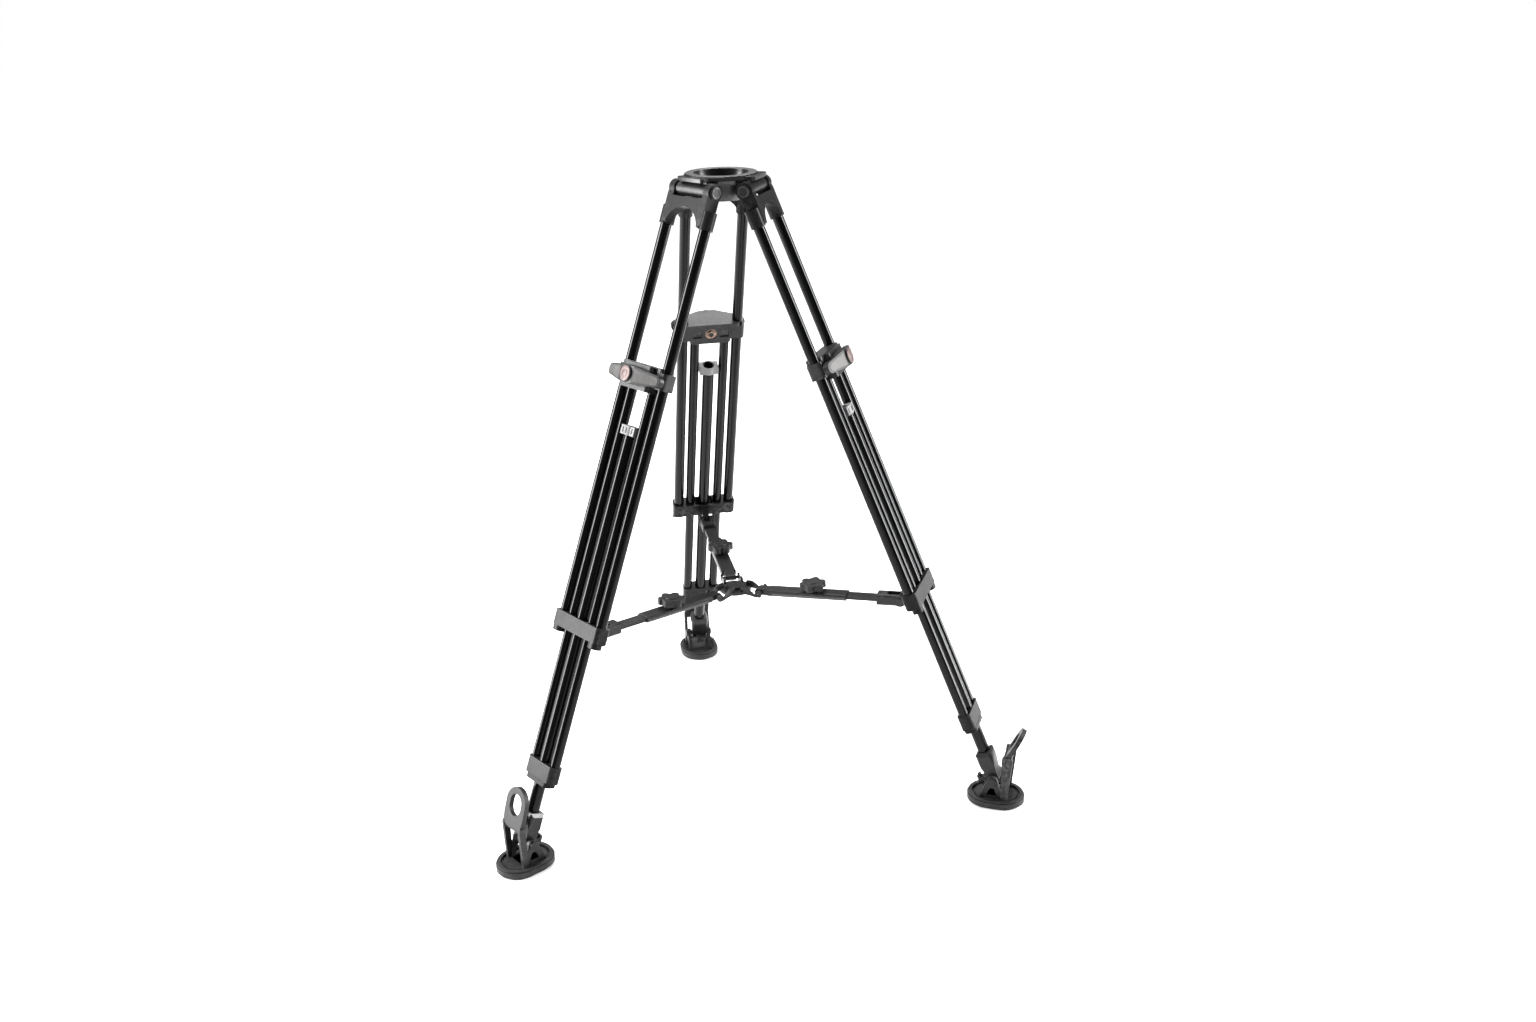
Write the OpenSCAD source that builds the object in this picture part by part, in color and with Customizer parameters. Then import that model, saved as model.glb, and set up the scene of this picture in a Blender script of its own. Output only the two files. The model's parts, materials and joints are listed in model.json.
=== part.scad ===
// Twin-tube video tripod: 75 mm bowl crown, three telescopic legs of three
// stages, a mid-level spreader and rubber feet on tilting ankles.
// Millimetres, +Z up, origin on the floor under the middle of the bowl.

/* [Stance] */
// Height of the leg hinges above the floor
hinge_h = 900; // [890:1:910]
// Angle of each leg from the vertical
leg_angle = 22.4; // [21.5:0.1:23]
// Distance of the leg hinges from the bowl axis
hinge_r = 46.7; // [46:0.1:48]

/* [Crown] */
// Radius of the spherical bowl seat, for a 75 mm half ball
bowl_r = 37.5; // [36:0.5:38]
// Outer radius of the crown rim
rim_r = 51; // [49:0.5:53]
// Height of the rim above the hinges
rim_up = 19; // [18:0.5:21]
// Radius of the throat under the bowl
throat_r = 20; // [17:0.5:22]

/* [Leg tubes] */
// Radius of the two fixed outer tubes
outer_tube_r = 8; // [7.5:0.1:8]
// Radius of the two middle-stage tubes
inner_tube_r = 7.25; // [7:0.05:7.3]
// Radius of the single lower tube
center_tube_r = 9; // [8.5:0.1:9.2]
// Half the distance between the outer tubes
outer_half = 41.6; // [41:0.1:43]
// Half the distance between the middle-stage tubes
inner_half = 22.6; // [22.4:0.1:23]
// Wall of every leg tube
tube_wall = 1.5; // [1:0.1:2]

/* [Leg stations, measured down the leg from its hinge] */
// Top of the spreader bracket
bracket_s = 605; // [600:1:610]
// Top of the locking collar
collar_s = 243; // [240:1:250]
// Top of the lower tube bracket
end_s = 814; // [810:1:818]

/* [Feet] */
// Half width of the rubber pad, across the leg
pad_r = 33; // [30:0.5:35]
// Half length of the rubber pad, along the leg's direction
pad_l = 42.7; // [40:0.1:45]
// Height of the ankle pin above the floor
ankle_h = 39; // [38:0.5:41]

/* [Spreader] */
// Distance of the hub pins from the bowl axis
hub_pin_r = 38; // [37.5:0.1:39]
// Height of the hub pins above the floor
hub_pin_h = 300.5; // [298:0.5:304]
// Width of the flat arm sleeves
arm_w = 23; // [20:0.5:23]
// Thickness of the flat arm sleeves
arm_t = 9; // [8:0.5:10]

/* [Hidden] */
$fn = 48;
gap = 0.06;        // running clearance on radius
slide = 0.08;       // sliding clearance on radius
LEGS = [["rear", 90], ["left", 210], ["right", 330]];
sa = sin(leg_angle); ca = cos(leg_angle);
pin_s = (hinge_h - ankle_h) / ca;         // ankle pin, down the leg
foot_r = hinge_r + pin_s * sa;
slider_s = pin_s - 610;
ankle_top = pin_s - 44;
lug_s = 624; lug_n = -30;                 // spreader arm pin on the bracket
lug_r = hinge_r + lug_s * sa + lug_n * ca;
lug_h = hinge_h - lug_s * ca + lug_n * sa;
arm_l = sqrt(pow(lug_r - hub_pin_r, 2) + pow(lug_h - hub_pin_h, 2));
arm_tilt = atan2(lug_h - hub_pin_h, lug_r - hub_pin_r);
// The rear leg's middle stage stands a little higher up than the other two
function up(az) = az == 90 ? 6.5 : 0;
// Lower tubes reach up to slightly different stations inside the legs
function slider_at(az) = slider_s + (az == 90 ? -1 : az == 210 ? 8.5 : 5);
knob_s = collar_s + 18;
body_n = 12;                              // half depth of the leg castings

PARTS = ["yoke", "outer_tubes", "spreader_bracket", "collar", "clamp_nut", "inner_tubes",
         "end_bracket", "lock_knob", "slider", "center_tube", "ankle", "spikes",
         "foot_pad", "foot_strap", "foot_pin", "arm_rod", "arm_tube", "arm_knob"];

// ---- frames -------------------------------------------------------------
// Leg frame: x out of the leg's face, y across the leg, z up along it.
module at_leg(az) rotate([0, 0, az]) translate([hinge_r, 0, hinge_h]) rotate([0, -leg_angle, 0]) children();
// Foot frame: upright, origin at the ankle pin.
module at_foot(az) rotate([0, 0, az]) translate([foot_r, 0, ankle_h]) children();
// Arm frame: origin at the hub pin, x along the arm to the leg.
module at_arm(az) rotate([0, 0, az]) translate([hub_pin_r, 0, hub_pin_h]) rotate([0, -arm_tilt, 0]) children();

// ---- shape helpers --------------------------------------------------------
module ybar(r, y0, y1) translate([0, y0, 0]) rotate([-90, 0, 0]) cylinder(r = r, h = y1 - y0);
module xbar(r, x0, x1) translate([x0, 0, 0]) rotate([0, 90, 0]) cylinder(r = r, h = x1 - x0);
// Rounded rectangle made of true arcs, a by b, corner r
module rrect(a, b, r) {
    square([a - 2 * r, b], center = true);
    square([a, b - 2 * r], center = true);
    for (i = [-1, 1], j = [-1, 1]) translate([i * (a / 2 - r), j * (b / 2 - r)]) circle(r);
}
// Block down the leg between two stations, profile x = depth, y = width
module station(s0, s1) translate([0, 0, -s1]) linear_extrude(s1 - s0) children();
module tube(r, s0, s1) translate([0, 0, -s1]) difference() {
    cylinder(r = r, h = s1 - s0);
    translate([0, 0, -1]) cylinder(r = r - tube_wall, h = s1 - s0 + 2);
}
module pair(y) for (i = [-1, 1]) translate([0, i * y, 0]) children();

// ---- crown ------------------------------------------------------------------
module crown_casting() color([0.13, 0.13, 0.14]) translate([0, 0, hinge_h]) difference() {
    union() {
        rotate([0, 0, 5]) rotate_extrude($fn = 96) polygon([[throat_r - 6, -16.5], [30, -16.5], [41, -6], [44, 4], [46, 8.2], [rim_r, 13],
            [rim_r, rim_up - 1.5], [rim_r - 1.5, rim_up], [throat_r - 6, rim_up]]);
        for (l = LEGS) rotate([0, 0, l[1]]) {
            translate([hinge_r, 0, 0]) ybar(10, -29.6, 29.6);
            // web from the bowl to the hinge barrel
            translate([31, -26, -9]) cube([14, 52, 18]);
            // roof over the barrel
            translate([0, 0, rim_up - 6.6]) linear_extrude(4.9)
                polygon([[41, -27.2], [53, -27.2], [57, -24], [58.5, -12], [58.5, 12], [57, 24], [53, 27.2], [41, 27.2]]);
            // side gussets from the rim down to the barrel ends
            for (i = [-1, 1]) translate([33, i * 22.6 - 3, -2]) cube([14.5, 6, 15.2]);
        }
    }
    // half-ball seat and throat
    rotate([0, 0, 17]) translate([0, 0, rim_up + 2]) sphere(r = bowl_r, $fn = 96);
    rotate([0, 0, 33]) translate([0, 0, -30]) cylinder(r = throat_r, h = 40);
    for (l = LEGS) rotate([0, 0, l[1]]) translate([hinge_r, 0, 0]) ybar(4, -36, 36);
}
module hinge_pins() color([0.06, 0.06, 0.06]) translate([0, 0, hinge_h]) for (l = LEGS)
    rotate([0, 0, l[1]]) translate([hinge_r, 0, 0]) {
        ybar(4, -42, 42);
        for (i = [-1, 1]) scale([1, i, 1]) { ybar(8.6, 41.9, 43.9); ybar(7.4, 43.9, 44.7); }
    }
// ---- upper stage ---------------------------------------------------------------
// Shoulder casting: two hinge bosses, an arch and two tube sockets
module yoke(az) color([0.22, 0.22, 0.23]) at_leg(az) difference() {
    union() {
        for (i = [-1, 1]) scale([1, i, 1]) {
            ybar(12, 30.4, 41.6);
            translate([-10.5, 30.4, -30]) cube([21, 11.2, 30]);
            translate([0, outer_half, 0]) station(26, 51) circle(10.4);
        }
        // arch between the sockets
        rotate([90, 0, 90]) translate([0, 0, -2]) linear_extrude(13) polygon(concat(
            [[-41.6, -8], [-30.4, -11.5], [-30, -12.2], [30, -12.2], [30.4, -11.5], [41.6, -8], [41.6, -46], [33.5, -50]],
            [for (a = [0:10:180]) [33.5 * cos(a) * (1 - 0.12 * sin(a)), -50 + 25 * sin(a)]],
            [[-33.5, -50], [-41.6, -46]]));
    }
    pair(outer_half) translate([0, 0, -52]) cylinder(r = outer_tube_r, h = 23);
    ybar(4 + gap, -60, 60);
    // room for the hinge barrel
    ybar(11, -30.2, 30.2);
}
module outer_tubes(az) color([0.05, 0.05, 0.055]) at_leg(az) pair(outer_half) tube(outer_tube_r, 29, bracket_s + 24);
module spreader_bracket(az) color([0.3, 0.3, 0.31]) at_leg(az) difference() {
    union() {
        station(bracket_s, bracket_s + 22) rrect(23, 2 * outer_half + 20, 6);
        pair(outer_half) station(bracket_s + 10, bracket_s + 30) rrect(22, 20, 8);
        // tongue for the spreader arm
        translate([0, -5, -lug_s]) rotate([-90, 0, 0]) linear_extrude(10) polygon([[-9, -18], [-9, 2.4], [lug_n, 7], [lug_n - 5, 5],
            [lug_n - 7, 0], [lug_n - 5, -5], [lug_n, -7]]);
    }
    pair(outer_half) translate([0, 0, -bracket_s - 24]) cylinder(r = outer_tube_r, h = 60);
    pair(inner_half) translate([0, 0, -bracket_s - 60]) cylinder(r = inner_tube_r + slide, h = 90);
    station(bracket_s - 5, bracket_s + 40) square([18, 31], center = true);
    translate([0, 0, -bracket_s - 60]) cylinder(r = 11, h = 90);
    translate([lug_n, 0, -lug_s]) ybar(3 + gap, -20, 20);
    pair(outer_half) translate([-22, -12, -bracket_s - 40]) cube([20, 24, 16.4]);
}

// ---- middle stage ---------------------------------------------------------------
module at_mid(az) at_leg(az) translate([0, 0, up(az)]) children();
module collar(az) color([0.25, 0.25, 0.26]) at_mid(az) difference() {
    union() {
        station(collar_s, collar_s + 7) rrect(25, 2 * outer_half + 5, 5);
        station(collar_s + 5.5, collar_s + 28.5) rrect(23, 2 * outer_half + 20, 6);
        // body that carries the knob, on the outer face
        translate([5.25, 0, 0]) station(collar_s + 1, collar_s + 36) rrect(30.5, 62, 5);
        translate([0, 0, -knob_s]) xbar(12, 16, 21.5);
    }
    pair(outer_half) translate([0, 0, -collar_s - 60]) cylinder(r = outer_tube_r + slide, h = 90);
    pair(inner_half) translate([0, 0, -collar_s - 60]) cylinder(r = inner_tube_r, h = 55);
    // stud bore and nut recess
    translate([0, 0, -knob_s]) xbar(4 + gap, -20, 30);
    translate([0, 0, -knob_s]) xbar(9, -20, -8);
    // relief in the inner face, each side of the nut
    for (i = [-1, 1]) translate([-13, i * 20.5 - 7, -collar_s - 24]) cube([3.6, 14, 13]);
}
module clamp_nut(az) color([0.72, 0.5, 0.3]) at_mid(az) translate([0, 0, -knob_s]) difference() {
    union() { xbar(8.7, -10.4, -8); translate([-12.6, 0, 0]) rotate([0, 90, 0]) cylinder(r = 6.4, h = 3, $fn = 6); }
    xbar(4 + gap, -20, 20);
}
module inner_tubes(az) color([0.05, 0.05, 0.055]) at_mid(az) pair(inner_half) tube(inner_tube_r, collar_s + 5, end_s + 20);
module end_bracket(az) color([0.3, 0.3, 0.31]) at_mid(az) difference() {
    union() {
        station(end_s, end_s + 24) rrect(20.5, 2 * inner_half + 16, 7.5);
        station(end_s + 22, end_s + 31) rrect(20, 2 * inner_half + 6, 7);
    }
    pair(inner_half) translate([0, 0, -end_s - 20]) cylinder(r = inner_tube_r, h = 40);
    translate([0, 0, -end_s - 60]) cylinder(r = center_tube_r + slide, h = 90);
}
// Wing knob moulded on a steel stud, its wings swept back towards the tubes
module lock_knob(az) color([0.16, 0.15, 0.15]) at_mid(az) translate([0, 0, -knob_s]) {
    xbar(4, -12.5, 25);
    intersection() {
        rotate([90, 0, 90]) linear_extrude(45) {
            circle(13);
            for (i = [-1, 1]) translate([i * 49, 0]) circle(8);
            polygon([[-49.5, -7.9], [-9, -12.4], [9, -12.4], [49.5, -7.9], [49.5, 7.9], [9, 12.4], [-9, 12.4], [-49.5, 7.9]]);
        }
        translate([0, 0, -20]) linear_extrude(40) polygon([[13.6, -60], [20.8, -60], [35, -13], [35, 13], [20.8, 60],
            [13.6, 60], [15.5, 45], [21.9, 38], [21.9, -38], [15.5, -45]]);
    }
    xbar(11.5, 34, 37.5);
}

// ---- lower stage -----------------------------------------------------------------
module slider(az) color([0.4, 0.4, 0.41]) at_leg(az) difference() {
    union() {
        station(slider_at(az), slider_at(az) + 13) square([17, 29], center = true);
        station(slider_at(az), slider_at(az) + 13) circle(10.6);
    }
    translate([0, 0, -slider_at(az) - 30]) cylinder(r = center_tube_r, h = 60);
}
module center_tube(az) color([0.05, 0.05, 0.055]) at_leg(az) tube(center_tube_r, slider_at(az) + 2, ankle_top + 20);
module ankle(az) color([0.1, 0.1, 0.1]) at_leg(az) difference() {
    union() {
        intersection() {
            station(ankle_top, pin_s) rrect(26, 32, 9);
            translate([-20, 0, 0]) rotate([90, 0, 90]) linear_extrude(40) polygon([[-12, -ankle_top], [12, -ankle_top], [15.5, -ankle_top - 5],
                [14.5, -ankle_top - 14], [12, 14 - pin_s], [12, -pin_s], [-12, -pin_s], [-12, 14 - pin_s], [-14.5, -ankle_top - 14], [-15.5, -ankle_top - 5]]);
            rotate([90, 0, 0]) translate([0, 0, -20]) linear_extrude(40) polygon([[-11, -ankle_top], [11, -ankle_top], [12.6, -ankle_top - 4],
                [12.6, -ankle_top - 12], [9, 12 - pin_s], [9, -pin_s], [-9, -pin_s], [-9, 12 - pin_s], [-12.6, -ankle_top - 12], [-12.6, -ankle_top - 4]]);
        }
        translate([0, 0, -pin_s]) ybar(9, -12, 12);
        // heel on the inner side
        translate([-24, -6, -pin_s - 2]) cube([18, 12, 6]);
        translate([-24, -6, -pin_s]) cube([4, 12, 8]);
    }
    translate([0, 0, -ankle_top - 20]) cylinder(r = center_tube_r, h = 40);
    translate([0, 0, -pin_s]) ybar(4 + gap, -30, 30);
}
module spikes(az) color([0.6, 0.6, 0.6]) at_leg(az) translate([0, 0, -pin_s]) pair(7)
    rotate([180, 0, 0]) rotate_extrude() polygon([[0, 9], [2.5, 9], [2.5, 11], [0.4, 17], [0, 17]]);

// ---- foot ------------------------------------------------------------------------
// Oval slice of the pad between two heights, inset from the outline
module oval(z0, z1, inset) translate([3, 0, z0 - ankle_h]) linear_extrude(z1 - z0) {
    for (i = [-1, 1]) translate([i * (pad_l - pad_r), 0]) circle(r = pad_r - inset, $fn = 96);
    square([2 * (pad_l - pad_r), 2 * (pad_r - inset)], center = true);
}
module foot_pad(az) color([0.09, 0.09, 0.09]) at_foot(az) difference() {
    union() {
        difference() {
            union() {
                oval(0, 2.1, 2.2);
                oval(2, 10.1, 0);
                oval(10, 13, 1.6);
            }
            oval(8.5, 20, 7);
            // hollow of the sole
            oval(-1, 1.2, 11);
        }
        oval(8, 11, 11);
        // cheeks that carry the ankle pin
        for (i = [-1, 1]) translate([0, i * 17.2 - 3, 0]) {
            rotate([-90, 0, 0]) cylinder(r = 8, h = 6);
            rotate([90, 0, 0]) mirror([0, 0, 1]) linear_extrude(6) polygon([[-7.4, 3], [7.4, 3], [16.5, -29], [-19, -29]]);
        }
    }
    ybar(4, -40, 40);
    // windows through the cheeks
    for (i = [-1, 1]) translate([0, i * 17.2 - 4, 0]) rotate([90, 0, 0]) mirror([0, 0, 1]) linear_extrude(8)
        polygon([[-3, -11], [3, -11], [9, -26], [-10, -26]]);
}
module foot_pin(az) color([0.35, 0.35, 0.36]) at_foot(az) { ybar(4, -21, 21); for (i = [-1, 1]) scale([1, i, 1]) ybar(6, 20.25, 22.5); }
// Rubber strap: an open frame on the pad, and a pull ring that leans as the rubber was left
module foot_strap(az) color([0.17, 0.17, 0.17]) at_foot(az) {
    out = az == 330;                                   // the right one was pulled outward
    zt = (out ? 83 : 73) - ankle_h;                    // top of the frame
    side = out ? [[13.5, 9.6 - ankle_h], [23, 9.6 - ankle_h], [29.5, zt - 4], [27.5, zt], [14, zt], [13.2, zt - 6]]
               : [[11.5, 9.6 - ankle_h], [20, 9.6 - ankle_h], [21.5, zt - 4], [20, zt], [12.6, zt], [11.7, zt - 6]];
    x0 = out ? 14.6 : 12.9; x1 = out ? 27.9 : 20.4;
    for (i = [-1, 1]) translate([0, i * 19.8 - 2.5, 0]) rotate([90, 0, 0]) mirror([0, 0, 1]) linear_extrude(5) polygon(side);
    rotate([90, 0, 0]) translate([0, 0, -20.6]) linear_extrude(41.2)
        polygon([[x0, zt - 9], [x1 - 1, zt - 9], [x1, zt - 3.6], [x1 - 1, zt - 0.4], [x0 + 0.6, zt - 0.4]]);
    rl = out ? 45 : 55;
    translate([out ? 21 : 16.6, 0, zt - 2]) rotate([0, out ? 28 : -18, 0]) rotate([90, 0, 90])
        translate([0, 0, -3.5]) linear_extrude(7) difference() {
            union() {
                polygon([[-20, -3], [20, -3], [22.5, 12], [22.5, rl - 22.5], [-22.5, rl - 22.5], [-22.5, 12]]);
                translate([0, rl - 22.5]) circle(22.5);
            }
            translate([0, rl - 28]) circle(13);
            translate([0, rl - 22.5]) circle(13);
            translate([-13, rl - 28]) square([26, 5.5]);
        }
}

// ---- spreader ----------------------------------------------------------------------
module arm_tube(az) color([0.12, 0.12, 0.12]) at_arm(az) {
    difference() {
        union() {
            rotate([90, 0, 90]) translate([0, 0, 16]) linear_extrude(122) rrect(arm_w, arm_t, 2);
            // tongue at the hub
            translate([0, -8, -arm_t / 2]) cube([20, 16, arm_t]);
            ybar(arm_t / 2, -8, 8);
            // boss under the knob
            translate([85, 0, 3]) cylinder(r = 9, h = arm_t / 2 - 0.5);
        }
        translate([19, -(arm_w - 4.6) / 2, -2.6]) cube([125, arm_w - 4.6, 5.2]);
        translate([85, 0, 0]) cylinder(r = 3.1, h = 20);
        // groove along the underside
        translate([30, -4, -arm_t]) cube([112, 8, arm_t - 3.6]);
    }
    ybar(2.5, -14.6, 14.6);
}
module arm_rod(az) color([0.14, 0.14, 0.14]) at_arm(az) {
    translate([64.4, -(arm_w - 4.6) / 2 + slide, -2.5]) cube([arm_l - 94.4, arm_w - 4.6 - 2 * slide, 5]);
    difference() {
        translate([arm_l - 35, 0, 0]) rotate([90, 0, 90]) linear_extrude(35) rrect(22, 17, 4);
        translate([arm_l - 20, -5.3, -20]) cube([60, 10.6, 40]);
    }
    for (i = [-1, 1]) translate([arm_l, i * 8.15 - 2.85, 0]) rotate([-90, 0, 0]) cylinder(r = 8.5, h = 5.7);
    translate([arm_l, 0, 0]) { ybar(3, -11.6, 11.6); for (i = [-1, 1]) scale([1, i, 1]) ybar(5, 10.9, 12.6); }
}
module arm_knob(az) color([0.13, 0.13, 0.13]) at_arm(az) translate([85, 0, 0]) {
    translate([0, 0, 3.2]) cylinder(r = 3, h = 8);
    translate([0, 0, 7.4]) cylinder(r = 8, h = 2.5);
    translate([0, 0, 9]) linear_extrude(9.5) {
        circle(15.5);
        for (k = [0:5]) rotate(30 + 60 * k) translate([14.2, 0]) circle(6);
    }
    translate([0, 0, 18]) cylinder(r = 9, h = 1.6);
}
module spreader_hub() color([0.15, 0.15, 0.15]) translate([0, 0, hub_pin_h]) {
    translate([0, 0, -3.5]) cylinder(r = 24, h = 4.5);
    cylinder(r = 13, h = 5);
    for (l = LEGS) rotate([0, 0, l[1]]) for (i = [-1, 1]) translate([0, i * 13.4 - 1.6, 0]) rotate([90, 0, 0]) mirror([0, 0, 1])
        linear_extrude(3.2) polygon([[13.5, -2.6], [27, -3.8], [36, -6], [43.5, -6], [46, -4.2], [46, 2.8], [44, 4.6], [hub_pin_r + 2.9, 4.6],
            [hub_pin_r + 2.9, -2.9], [35.4, -2.9], [32, 0.4], [27, 4.4], [22.6, 7.6], [13.5, 7.6]]);
}

// ---- nodes ----------------------------------------------------------------------------
module leg_part(p, az) {
    if (p == "yoke") yoke(az);
    if (p == "outer_tubes") outer_tubes(az);
    if (p == "spreader_bracket") spreader_bracket(az);
    if (p == "collar") collar(az);
    if (p == "clamp_nut") clamp_nut(az);
    if (p == "inner_tubes") inner_tubes(az);
    if (p == "end_bracket") end_bracket(az);
    if (p == "lock_knob") lock_knob(az);
    if (p == "slider") slider(az);
    if (p == "center_tube") center_tube(az);
    if (p == "ankle") ankle(az);
    if (p == "spikes") spikes(az);
    if (p == "foot_pad") foot_pad(az);
    if (p == "foot_strap") foot_strap(az);
    if (p == "foot_pin") foot_pin(az);
    if (p == "arm_rod") arm_rod(az);
    if (p == "arm_tube") arm_tube(az);
    if (p == "arm_knob") arm_knob(az);
}
crown_casting();
hinge_pins();
spreader_hub();
for (l = LEGS) for (p = PARTS) leg_part(p, l[1]);
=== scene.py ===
import bpy, bmesh, math, json
from mathutils import Vector, Matrix


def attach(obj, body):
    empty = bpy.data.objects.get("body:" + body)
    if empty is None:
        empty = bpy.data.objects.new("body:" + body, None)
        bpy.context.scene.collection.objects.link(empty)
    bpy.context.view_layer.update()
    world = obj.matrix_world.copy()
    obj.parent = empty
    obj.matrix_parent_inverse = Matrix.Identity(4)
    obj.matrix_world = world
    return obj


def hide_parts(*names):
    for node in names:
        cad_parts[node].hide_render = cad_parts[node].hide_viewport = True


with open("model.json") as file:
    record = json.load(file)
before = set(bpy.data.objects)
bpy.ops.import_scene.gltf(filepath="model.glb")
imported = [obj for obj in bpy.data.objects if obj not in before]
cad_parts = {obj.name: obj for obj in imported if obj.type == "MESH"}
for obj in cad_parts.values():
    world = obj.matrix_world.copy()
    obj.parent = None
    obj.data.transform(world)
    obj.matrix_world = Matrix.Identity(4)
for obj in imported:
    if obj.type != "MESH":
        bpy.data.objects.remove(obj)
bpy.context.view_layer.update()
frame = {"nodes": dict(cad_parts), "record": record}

NODES = frame["nodes"]
LEGS = {"rear": 90.0, "left": 210.0, "right": 330.0}

# leg geometry in metres, as in the CAD
HINGE_R, HINGE_H, LEAN = 0.0467, 0.900, math.radians(22.4)
ANKLE_H = 0.039
PIN_S = (HINGE_H - ANKLE_H) / math.cos(LEAN)
FOOT_R = HINGE_R + PIN_S * math.sin(LEAN)
HUB_R, HUB_H = 0.038, 0.3005
LUG_S, LUG_N = 0.624, -0.030
LUG_R = HINGE_R + LUG_S * math.sin(LEAN) + LUG_N * math.cos(LEAN)
LUG_H = HINGE_H - LUG_S * math.cos(LEAN) + LUG_N * math.sin(LEAN)
ARM_L = math.hypot(LUG_R - HUB_R, LUG_H - HUB_H)
ARM_TILT = math.atan2(LUG_H - HUB_H, LUG_R - HUB_R)


def leg_matrix(az):
    return (Matrix.Rotation(math.radians(az), 4, "Z") @ Matrix.Translation((HINGE_R, 0, HINGE_H))
            @ Matrix.Rotation(-LEAN, 4, "Y"))


def foot_matrix(az):
    return Matrix.Rotation(math.radians(az), 4, "Z") @ Matrix.Translation((FOOT_R, 0, ANKLE_H))


def arm_matrix(az):
    return (Matrix.Rotation(math.radians(az), 4, "Z") @ Matrix.Translation((HUB_R, 0, HUB_H))
            @ Matrix.Rotation(-ARM_TILT, 4, "Y"))


# ---------------------------------------------------------------- camera
def make_camera():
    yaw, pitch, roll = -0.2016, 0.3662, -0.0251
    fwd = Vector((-math.sin(yaw) * math.cos(pitch), math.cos(yaw) * math.cos(pitch), -math.sin(pitch)))
    right = Vector((math.cos(yaw), math.sin(yaw), 0))
    up = right.cross(fwd)
    r2 = right * math.cos(roll) + up * math.sin(roll)
    u2 = -right * math.sin(roll) + up * math.cos(roll)
    m = Matrix((r2, u2, -fwd)).transposed().to_4x4()
    m.translation = Vector((-0.3527, -1.9872, 1.1966))
    cam = bpy.data.cameras.new("camera")
    cam.sensor_width = 36.0
    cam.sensor_fit = "HORIZONTAL"
    cam.lens = 1456.35 * 36.0 / 1536.0
    cam.clip_start, cam.clip_end = 0.05, 900.0
    ob = bpy.data.objects.new("camera", cam)
    bpy.context.scene.collection.objects.link(ob)
    ob.matrix_world = m
    bpy.context.scene.camera = ob


# ---------------------------------------------------------------- materials
def new_mat(name, colour, rough, metallic=0.0, coat=0.0, coat_rough=0.1, spec=0.5):
    m = bpy.data.materials.new(name)
    m.use_nodes = True
    nt = m.node_tree
    b = nt.nodes["Principled BSDF"]
    b.inputs["Base Color"].default_value = (*colour, 1)
    b.inputs["Roughness"].default_value = rough
    b.inputs["Metallic"].default_value = metallic
    b.inputs["Coat Weight"].default_value = coat
    b.inputs["Coat Roughness"].default_value = coat_rough
    b.inputs["Specular IOR Level"].default_value = spec
    return m, nt, b


def node(nt, kind, **props):
    n = nt.nodes.new(kind)
    for k, v in props.items():
        if k.startswith("in_"):
            n.inputs[k[3:].replace("_", " ")].default_value = v
        else:
            setattr(n, k, v)
    return n


def coords(nt, scale=(1, 1, 1)):
    tc = node(nt, "ShaderNodeTexCoord")
    mp = node(nt, "ShaderNodeMapping")
    mp.inputs["Scale"].default_value = scale
    nt.links.new(tc.outputs["Object"], mp.inputs["Vector"])
    return mp.outputs["Vector"]


def noise(nt, vec, scale, detail=3.0, rough=0.5):
    n = node(nt, "ShaderNodeTexNoise")
    n.inputs["Scale"].default_value = scale
    n.inputs["Detail"].default_value = detail
    n.inputs["Roughness"].default_value = rough
    nt.links.new(vec, n.inputs["Vector"])
    return n.outputs["Fac"]


def ramp(nt, fac, stops):
    r = node(nt, "ShaderNodeValToRGB")
    el = r.color_ramp.elements
    while len(el) < len(stops):
        el.new(0.5)
    for e, (p, c) in zip(el, stops):
        e.position = p
        e.color = c if len(c) == 4 else (*c, 1)
    nt.links.new(fac, r.inputs["Fac"])
    return r.outputs["Color"]


def remap(nt, fac, a, b, lo=0.3, hi=0.7):
    r = node(nt, "ShaderNodeMapRange")
    r.inputs["From Min"].default_value = lo
    r.inputs["From Max"].default_value = hi
    r.inputs["To Min"].default_value = a
    r.inputs["To Max"].default_value = b
    nt.links.new(fac, r.inputs["Value"])
    return r.outputs["Result"]


def bump(nt, height, strength, dist, normal=None):
    b = node(nt, "ShaderNodeBump")
    b.inputs["Strength"].default_value = strength
    b.inputs["Distance"].default_value = dist
    nt.links.new(height, b.inputs["Height"])
    if normal is not None:
        nt.links.new(normal, b.inputs["Normal"])
    return b.outputs["Normal"]


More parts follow.
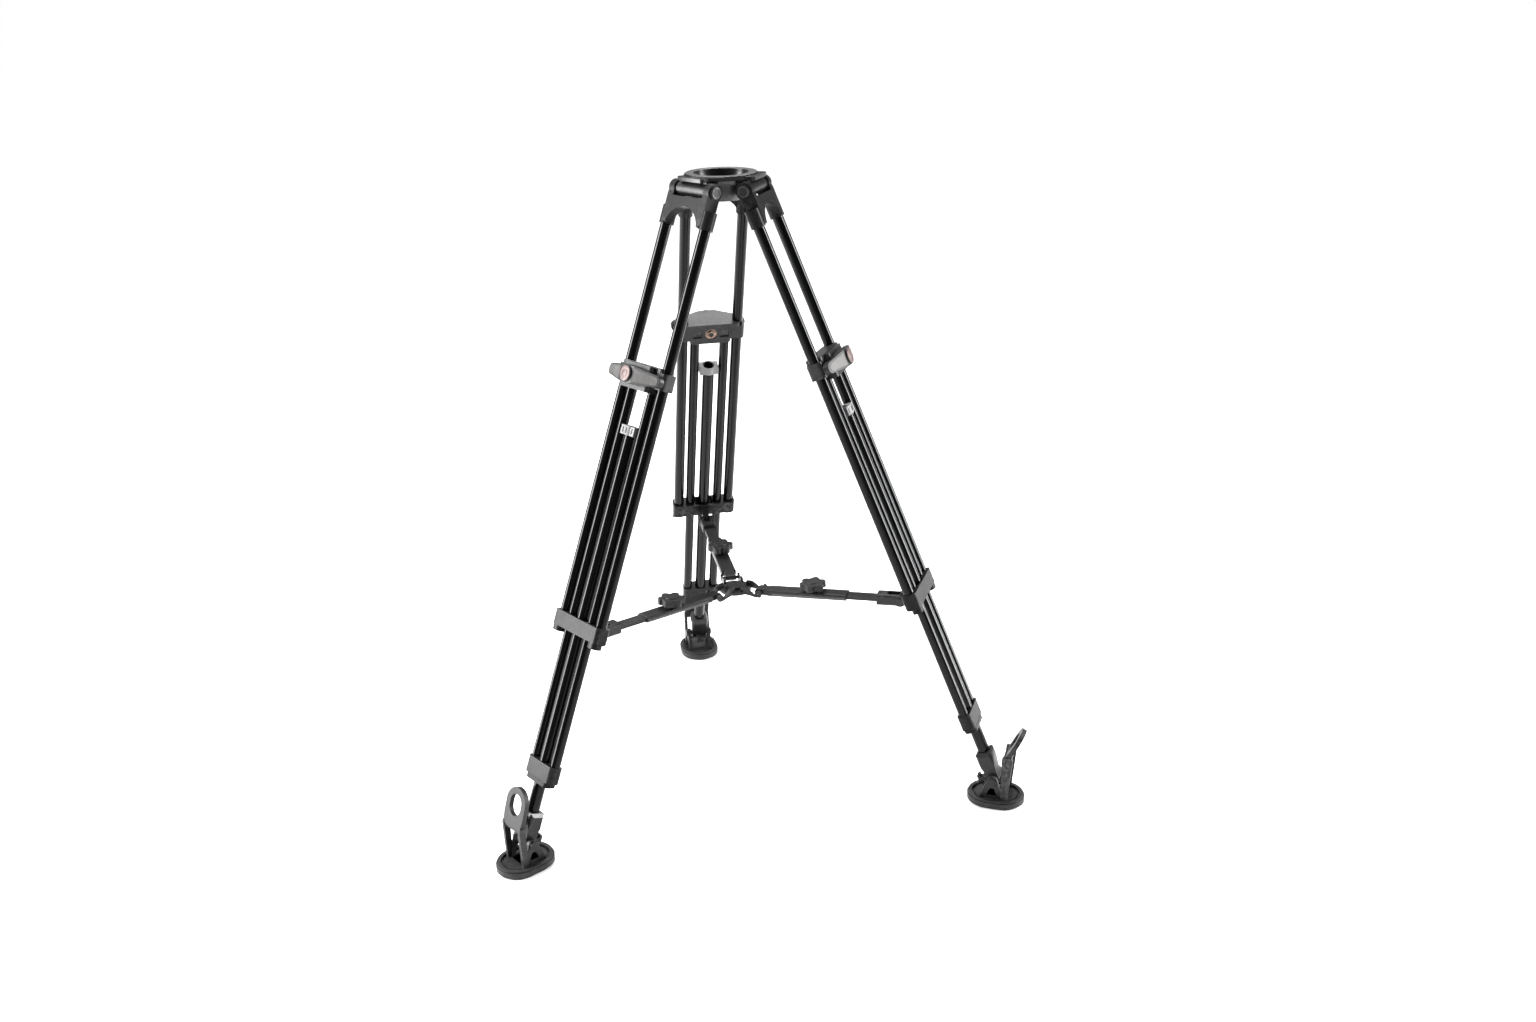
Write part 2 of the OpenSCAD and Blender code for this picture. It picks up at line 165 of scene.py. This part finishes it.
def mottled(name, dark, light, rough, grain, grain_strength, blotch=9.0, metallic=0.0, coat=0.0, coat_rough=0.15,
            grain_dist=0.0003, stretch=(1, 1, 1), rough_var=0.08, spec=0.5, wear=None):
    """A surface with slow colour variation, fine grain in the normal and uneven roughness."""
    m, nt, b = new_mat(name, dark, rough, metallic, coat, coat_rough, spec)
    v = coords(nt)
    big = noise(nt, v, blotch, 4.0, 0.6)
    col = ramp(nt, big, [(0.3, dark), (0.7, light)])
    if wear is not None:
        # corners rubbed a little lighter, broken up by a medium noise
        geo = node(nt, "ShaderNodeNewGeometry")
        edge = remap(nt, geo.outputs["Pointiness"], 0.0, 1.0, 0.52, 0.62)
        patch = remap(nt, noise(nt, v, 160.0, 3.0, 0.65), 0.0, 1.0, 0.42, 0.62)
        mul = node(nt, "ShaderNodeMath", operation="MULTIPLY")
        nt.links.new(edge, mul.inputs[0])
        nt.links.new(patch, mul.inputs[1])
        mix = node(nt, "ShaderNodeMix", data_type="RGBA")
        nt.links.new(mul.outputs[0], mix.inputs[0])
        nt.links.new(col, mix.inputs[6])
        mix.inputs[7].default_value = (*wear, 1)
        col = mix.outputs[2]
    nt.links.new(col, b.inputs["Base Color"])
    vs = coords(nt, stretch)
    fine = noise(nt, vs, grain, 2.0, 0.6)
    nt.links.new(remap(nt, big, rough - rough_var, rough + rough_var), b.inputs["Roughness"])
    nt.links.new(bump(nt, fine, grain_strength, grain_dist), b.inputs["Normal"])
    return m


MATS = {}


def make_materials():
    MATS["casting_grey"] = mottled("casting_grey", (0.013, 0.013, 0.0137), (0.018, 0.018, 0.0187), 0.32, 1500, 0.08, rough_var=0.04, spec=0.18, wear=(0.05, 0.05, 0.05))
    MATS["bracket_grey"] = mottled("bracket_grey", (0.007, 0.007, 0.0073), (0.010, 0.010, 0.0103), 0.30, 1500, 0.07, rough_var=0.04, spec=0.06, wear=(0.04, 0.04, 0.04))
    MATS["casting_dark"] = mottled("casting_dark", (0.004, 0.004, 0.0043), (0.007, 0.007, 0.0073), 0.28, 1500, 0.08, rough_var=0.04, spec=0.20, wear=(0.04, 0.04, 0.04))
    # paler rim colour: painted highlight standing for the reflections along the bowl rim
    MATS["painted_rim_highlight"] = mottled("painted_rim_highlight", (0.10, 0.10, 0.102), (0.16, 0.16, 0.163), 0.25, 1300, 0.12, rough_var=0.05, metallic=0.5)
    MATS["tube_black"] = mottled("tube_black", (0.0010, 0.0010, 0.0011), (0.0022, 0.0022, 0.0023), 0.16, 1600, 0.05, rough_var=0.035, spec=0.14, grain_dist=0.00008)
    MATS["stud_brass"] = mottled("stud_brass", (0.10, 0.062, 0.045), (0.34, 0.24, 0.19), 0.33, 900, 0.2, blotch=120, metallic=0.9)
    MATS["knob_plastic"] = mottled("knob_plastic", (0.006, 0.006, 0.0063), (0.010, 0.010, 0.0103), 0.40, 1800, 0.16, spec=0.22, wear=(0.04, 0.04, 0.04))
    # lighter knob front faces: painted highlight standing for the reflections on the glossy wings
    MATS["knob_painted_highlight"] = mottled("knob_painted_highlight", (0.034, 0.033, 0.032), (0.085, 0.082, 0.080), 0.40, 1500, 0.12, blotch=38, spec=0.20)
    MATS["knob_cap"] = mottled("knob_cap", (0.060, 0.040, 0.038), (0.12, 0.088, 0.084), 0.42, 900, 0.12, blotch=60, metallic=0.25, spec=0.2)
    MATS["slider_nylon"] = mottled("slider_nylon", (0.09, 0.09, 0.092), (0.15, 0.15, 0.152), 0.46, 1500, 0.3, spec=0.35)
    MATS["ankle_plastic"] = mottled("ankle_plastic", (0.004, 0.004, 0.004), (0.007, 0.007, 0.007), 0.34, 1500, 0.14, spec=0.25, wear=(0.04, 0.04, 0.04))
    MATS["spike_steel"] = mottled("spike_steel", (0.2, 0.2, 0.2), (0.3, 0.3, 0.3), 0.33, 900, 0.2, metallic=1.0)
    MATS["shoe_rubber"] = mottled("shoe_rubber", (0.006, 0.006, 0.006), (0.012, 0.012, 0.012), 0.48, 1900, 0.28, blotch=14, spec=0.25, wear=(0.045, 0.045, 0.045))
    MATS["pin_steel"] = mottled("pin_steel", (0.010, 0.010, 0.0105), (0.018, 0.018, 0.0185), 0.36, 1200, 0.1, metallic=0.0, spec=0.15)
    MATS["arm_plastic"] = mottled("arm_plastic", (0.004, 0.004, 0.0042), (0.008, 0.008, 0.0083), 0.36, 1500, 0.14, spec=0.24, wear=(0.04, 0.04, 0.04))
    MATS["arm_rail"] = mottled("arm_rail", (0.028, 0.028, 0.029), (0.045, 0.045, 0.046), 0.33, 1500, 0.2, spec=0.4)
    # near-black notch colour: painted shade of the recessed notches in the slider
    MATS["notch_painted_shade"] = mottled("notch_painted_shade", (0.006, 0.006, 0.006), (0.010, 0.010, 0.010), 0.6, 1500, 0.3, spec=0.2)


SLOT = {}


def slots():
    for sp in frame["record"]["subparts"]:
        SLOT[sp["node"]] = sp.get("material_slot", sp["node"])


def paint(ob, slot):
    ob.data.materials.clear()
    ob.data.materials.append(MATS[slot])


# ---------------------------------------------------------------- pieces
def softened(name, width, seg=2, angle=35, slot=None):
    """The CAD node's own shape with its sharp edges rounded, as a new piece that replaces it."""
    src = NODES[name]
    me = src.data.copy()
    ob = bpy.data.objects.new(name + "_cast", me)
    bpy.context.scene.collection.objects.link(ob)
    ob.matrix_world = src.matrix_world.copy()
    bm = bmesh.new()
    bm.from_mesh(me)
    bmesh.ops.remove_doubles(bm, verts=bm.verts, dist=2e-6)
    bmesh.ops.dissolve_limit(bm, angle_limit=math.radians(0.6), verts=bm.verts, edges=bm.edges)
    bmesh.ops.dissolve_degenerate(bm, dist=2e-6, edges=bm.edges)
    for f in bm.faces:
        f.smooth = True
    bm.to_mesh(me)
    bm.free()
    bv = ob.modifiers.new("edge", "BEVEL")
    bv.limit_method = "ANGLE"
    bv.angle_limit = math.radians(angle)
    bv.width = width
    bv.segments = seg
    bv.harden_normals = False
    bv.use_clamp_overlap = True
    wn = ob.modifiers.new("wn", "WEIGHTED_NORMAL")
    wn.keep_sharp = True
    paint(ob, slot or SLOT[name])
    body = body_of(name)
    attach(ob, body)
    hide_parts(name)
    return ob


BODY = {}


def body_of(name):
    return BODY[name]


def bodies():
    for b, ns in frame["record"]["behaviour"]["bodies"].items():
        for n in ns:
            BODY[n] = b


# ---------------------------------------------------------------- small pieces
def finish_piece(bm, name, matrix, node_name, mat, bevel=0.0, seg=2):
    bmesh.ops.recalc_face_normals(bm, faces=bm.faces)
    for f in bm.faces:
        f.smooth = True
    me = bpy.data.meshes.new(name)
    bm.to_mesh(me)
    bm.free()
    me.transform(matrix)
    ob = bpy.data.objects.new(name, me)
    bpy.context.scene.collection.objects.link(ob)
    me.materials.append(MATS[mat])
    if bevel:
        bv = ob.modifiers.new("edge", "BEVEL")
        bv.limit_method = "ANGLE"
        bv.angle_limit = math.radians(35)
        bv.width = bevel
        bv.segments = seg
    wn = ob.modifiers.new("wn", "WEIGHTED_NORMAL")
    wn.keep_sharp = True
    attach(ob, BODY[node_name])
    return ob


def lathe(name, prof, matrix, node_name, mat, seg=64, bevel=0.0):
    """Closed profile of (radius, height) turned round the local z axis."""
    bm = bmesh.new()
    rings = []
    for r, z in prof:
        rings.append([bm.verts.new((r * math.cos(2 * math.pi * i / seg), r * math.sin(2 * math.pi * i / seg), z)) for i in range(seg)])
    for a, b in zip(rings, rings[1:] + rings[:1]):
        for i in range(seg):
            q = (a[i], a[(i + 1) % seg], b[(i + 1) % seg], b[i])
            bm.faces.new(q)
    return finish_piece(bm, name, matrix, node_name, mat, bevel)


def disc(name, prof, matrix, node_name, mat, seg=48):
    """Open profile from the axis outwards and back to the axis, turned round the local z axis."""
    bm = bmesh.new()
    rings = [[bm.verts.new((r * math.cos(2 * math.pi * i / seg), r * math.sin(2 * math.pi * i / seg), z)) for i in range(seg)] for r, z in prof]
    for a, b in zip(rings, rings[1:]):
        for i in range(seg):
            bm.faces.new((a[i], a[(i + 1) % seg], b[(i + 1) % seg], b[i]))
    bm.faces.new(rings[0])
    bm.faces.new(rings[-1])
    return finish_piece(bm, name, matrix, node_name, mat)


def slab(name, outline, z0, z1, matrix, node_name, mat, bevel=0.0003):
    """Outline in local x, y, between two heights."""
    bm = bmesh.new()
    lo = [bm.verts.new((x, y, z0)) for x, y in outline]
    hi = [bm.verts.new((x, y, z1)) for x, y in outline]
    n = len(outline)
    bm.faces.new(lo)
    bm.faces.new(hi)
    for i in range(n):
        bm.faces.new((lo[i], lo[(i + 1) % n], hi[(i + 1) % n], hi[i]))
    return finish_piece(bm, name, matrix, node_name, mat, bevel)


def wing(x0, h0, x1, r, steps=12):
    """Outline of a wing: straight at the inner end, tapering to a round outer end."""
    pts = [(x0, -h0)]
    for i in range(steps + 1):
        a = -math.pi / 2 + math.pi * i / steps
        pts.append((x1 + r * math.cos(a), r * math.sin(a)))
    pts.append((x0, h0))
    for i in range(1, 6):
        y = h0 - 2 * h0 * i / 6
        pts.append((x0 + 0.0016 * (1 - (y / h0) ** 2), y))
    return pts


def details():
    # local x across the leg, local y up the leg, local z out of the leg's face
    face = Matrix(((0, 0, 1, 0), (1, 0, 0, 0), (0, 1, 0, 0), (0, 0, 0, 1)))
    for k, az in LEGS.items():
        up = 0.0065 if k == "rear" else 0.0
        leg = leg_matrix(az)
        knob = leg @ Matrix.Translation((0, 0, -0.261 + up)) @ face
        slope = math.atan2(0.0142, 0.047)
        # lighter plates over the wing fronts: painted highlight of the knob's glossy faces
        for i, sgn in ((1, 1.0), (2, -1.0)):
            out = [(sgn * x, sgn * y) for x, y in wing(0.0008, 0.0092, 0.0365, 0.0056)]
            tilt = knob @ Matrix.Translation((sgn * 0.013, 0, 0.035)) @ Matrix.Rotation(sgn * slope, 4, "Y")
            slab("knob_face_%s_%d" % (k, i), out, -0.0003, 0.0005, tilt, "lock_knob_" + k, "knob_painted_highlight", 0.0003)
        disc("knob_cap_" + k, [(0.0004, 0.0374), (0.0108, 0.0374), (0.0108, 0.0379), (0.0098, 0.0386), (0.0062, 0.0389), (0.0057, 0.0383),
                               (0.0050, 0.0383), (0.0046, 0.0388), (0.0004, 0.0390)], knob, "lock_knob_" + k, "knob_cap")
        # paler rails along both sides of the spreader sleeve
        arm = arm_matrix(az)
        for i, sgn in ((1, 1.0), (2, -1.0)):
            m = arm @ Matrix.Translation((0, sgn * 0.0114, 0)) @ Matrix.Rotation(math.radians(90), 4, "X")
            out = [(0.0235, -0.0034), (0.1365, -0.0034), (0.1365, 0.0002), (0.0250, 0.0002)]
            slab("arm_rail_%s_%d" % (k, i), out, -0.0004, 0.0004, m, "arm_tube_" + k, "arm_rail", 0.0002)
        # notches in the face of the slider, drawn as thin dark slabs on the face: painted shade of the recesses
        sl = PIN_S - 0.610 + {"rear": -0.001, "left": 0.0085, "right": 0.005}[k]
        nb = leg @ Matrix.Translation((0, 0, -sl - 0.0065)) @ face
        for i, x in enumerate((-0.0095, 0.0, 0.0095)):
            z = 0.0106 if i == 1 else 0.0085
            out = [(x - 0.0013, -0.0040), (x + 0.0013, -0.0040), (x + 0.0013, 0.0040), (x - 0.0013, 0.0040)]
            slab("slider_notch_%s_%d" % (k, i + 1), out, z - 0.0003, z + 0.0001, nb, "slider_" + k, "notch_painted_shade", 0.0)
        # turned rings on the hinge caps
        for i, rot in ((1, -90), (2, 90)):
            hp = Matrix.Rotation(math.radians(az), 4, "Z") @ Matrix.Translation((HINGE_R, 0, HINGE_H)) @ Matrix.Rotation(math.radians(rot), 4, "X")
            lathe("hinge_ring_%s_%d" % (k, i), [(0.0060, 0.0446), (0.0073, 0.0446), (0.0072, 0.0450), (0.0061, 0.0450)], hp, "hinge_pins", "arm_rail", 48)
    # pale ring on the faces of the bowl rim: painted highlight standing for the reflections along the rim
    lathe("bowl_rim_highlight_ring", [(0.0377, 0.9189), (0.0494, 0.9189), (0.0491, 0.91925), (0.0381, 0.91925)], Matrix.Identity(4), "crown_casting", "painted_rim_highlight", 128)


def stage():
    sc = bpy.context.scene
    sc.view_settings.view_transform = "Standard"
    bpy.ops.mesh.primitive_plane_add(size=800, location=(0, 200, 0))
    fl = bpy.context.active_object
    fl.name = "floor"
    m, nt, b = new_mat("floor_paper", (0.94, 0.94, 0.94), 0.95, spec=0.0)
    fl.data.materials.append(m)
    w = sc.world or bpy.data.worlds.new("world")
    sc.world = w
    w.use_nodes = True
    bg = w.node_tree.nodes.get("Background") or w.node_tree.nodes.new("ShaderNodeBackground")
    bg.inputs["Color"].default_value = (1, 1, 1, 1)
    bg.inputs["Strength"].default_value = 0.17

    def area(name, loc, target, size, power, size_y=None):
        l = bpy.data.lights.new(name, "AREA")
        l.energy = power
        l.size = size
        if size_y:
            l.shape = "RECTANGLE"
            l.size_y = size_y
        o = bpy.data.objects.new(name, l)
        bpy.context.scene.collection.objects.link(o)
        o.location = loc
        o.rotation_euler = (Vector(target) - Vector(loc)).to_track_quat("-Z", "Y").to_euler()
        return o
    sun = bpy.data.lights.new("sun", "SUN")
    sun.energy = 3.05
    sun.angle = math.radians(70)
    so = bpy.data.objects.new("sun", sun)
    sc.collection.objects.link(so)
    so.rotation_euler = Vector((0.35, -0.25, -1.0)).to_track_quat("-Z", "Y").to_euler()
    area("strip_left", (-2.95, 0.45, 1.15), (0, 0, 0.45), 1.0, 345, 2.6)
    area("strip_right", (3.35, -0.45, 1.2), (0, 0, 0.45), 1.0, 345, 2.5)
    area("top_back", (0.7, 2.6, 3.6), (0, 0, 0.6), 2.2, 110, 1.6)


def main():
    slots()
    bodies()
    make_materials()
    make_camera()
    stage()
    for name, ob in NODES.items():
        paint(ob, SLOT[name])
    for k in LEGS:
        paint(softened("yoke_" + k, 0.0012, 3), "bracket_grey")
        paint(softened("spreader_bracket_" + k, 0.001, 2), "bracket_grey")
        softened("collar_" + k, 0.001, 2)
        paint(softened("end_bracket_" + k, 0.001, 2), "bracket_grey")
        softened("lock_knob_" + k, 0.0015, 3)
        softened("arm_knob_" + k, 0.0015, 3)
        softened("ankle_" + k, 0.001, 2)
        softened("foot_pad_" + k, 0.0012, 2)
        softened("foot_strap_" + k, 0.0016, 3)
        softened("arm_tube_" + k, 0.0008, 2)
        softened("arm_rod_" + k, 0.0008, 2)
        softened("slider_" + k, 0.0006, 2)
    softened("crown_casting", 0.0012, 3)
    softened("spreader_hub", 0.0008, 2)
    details()


main()
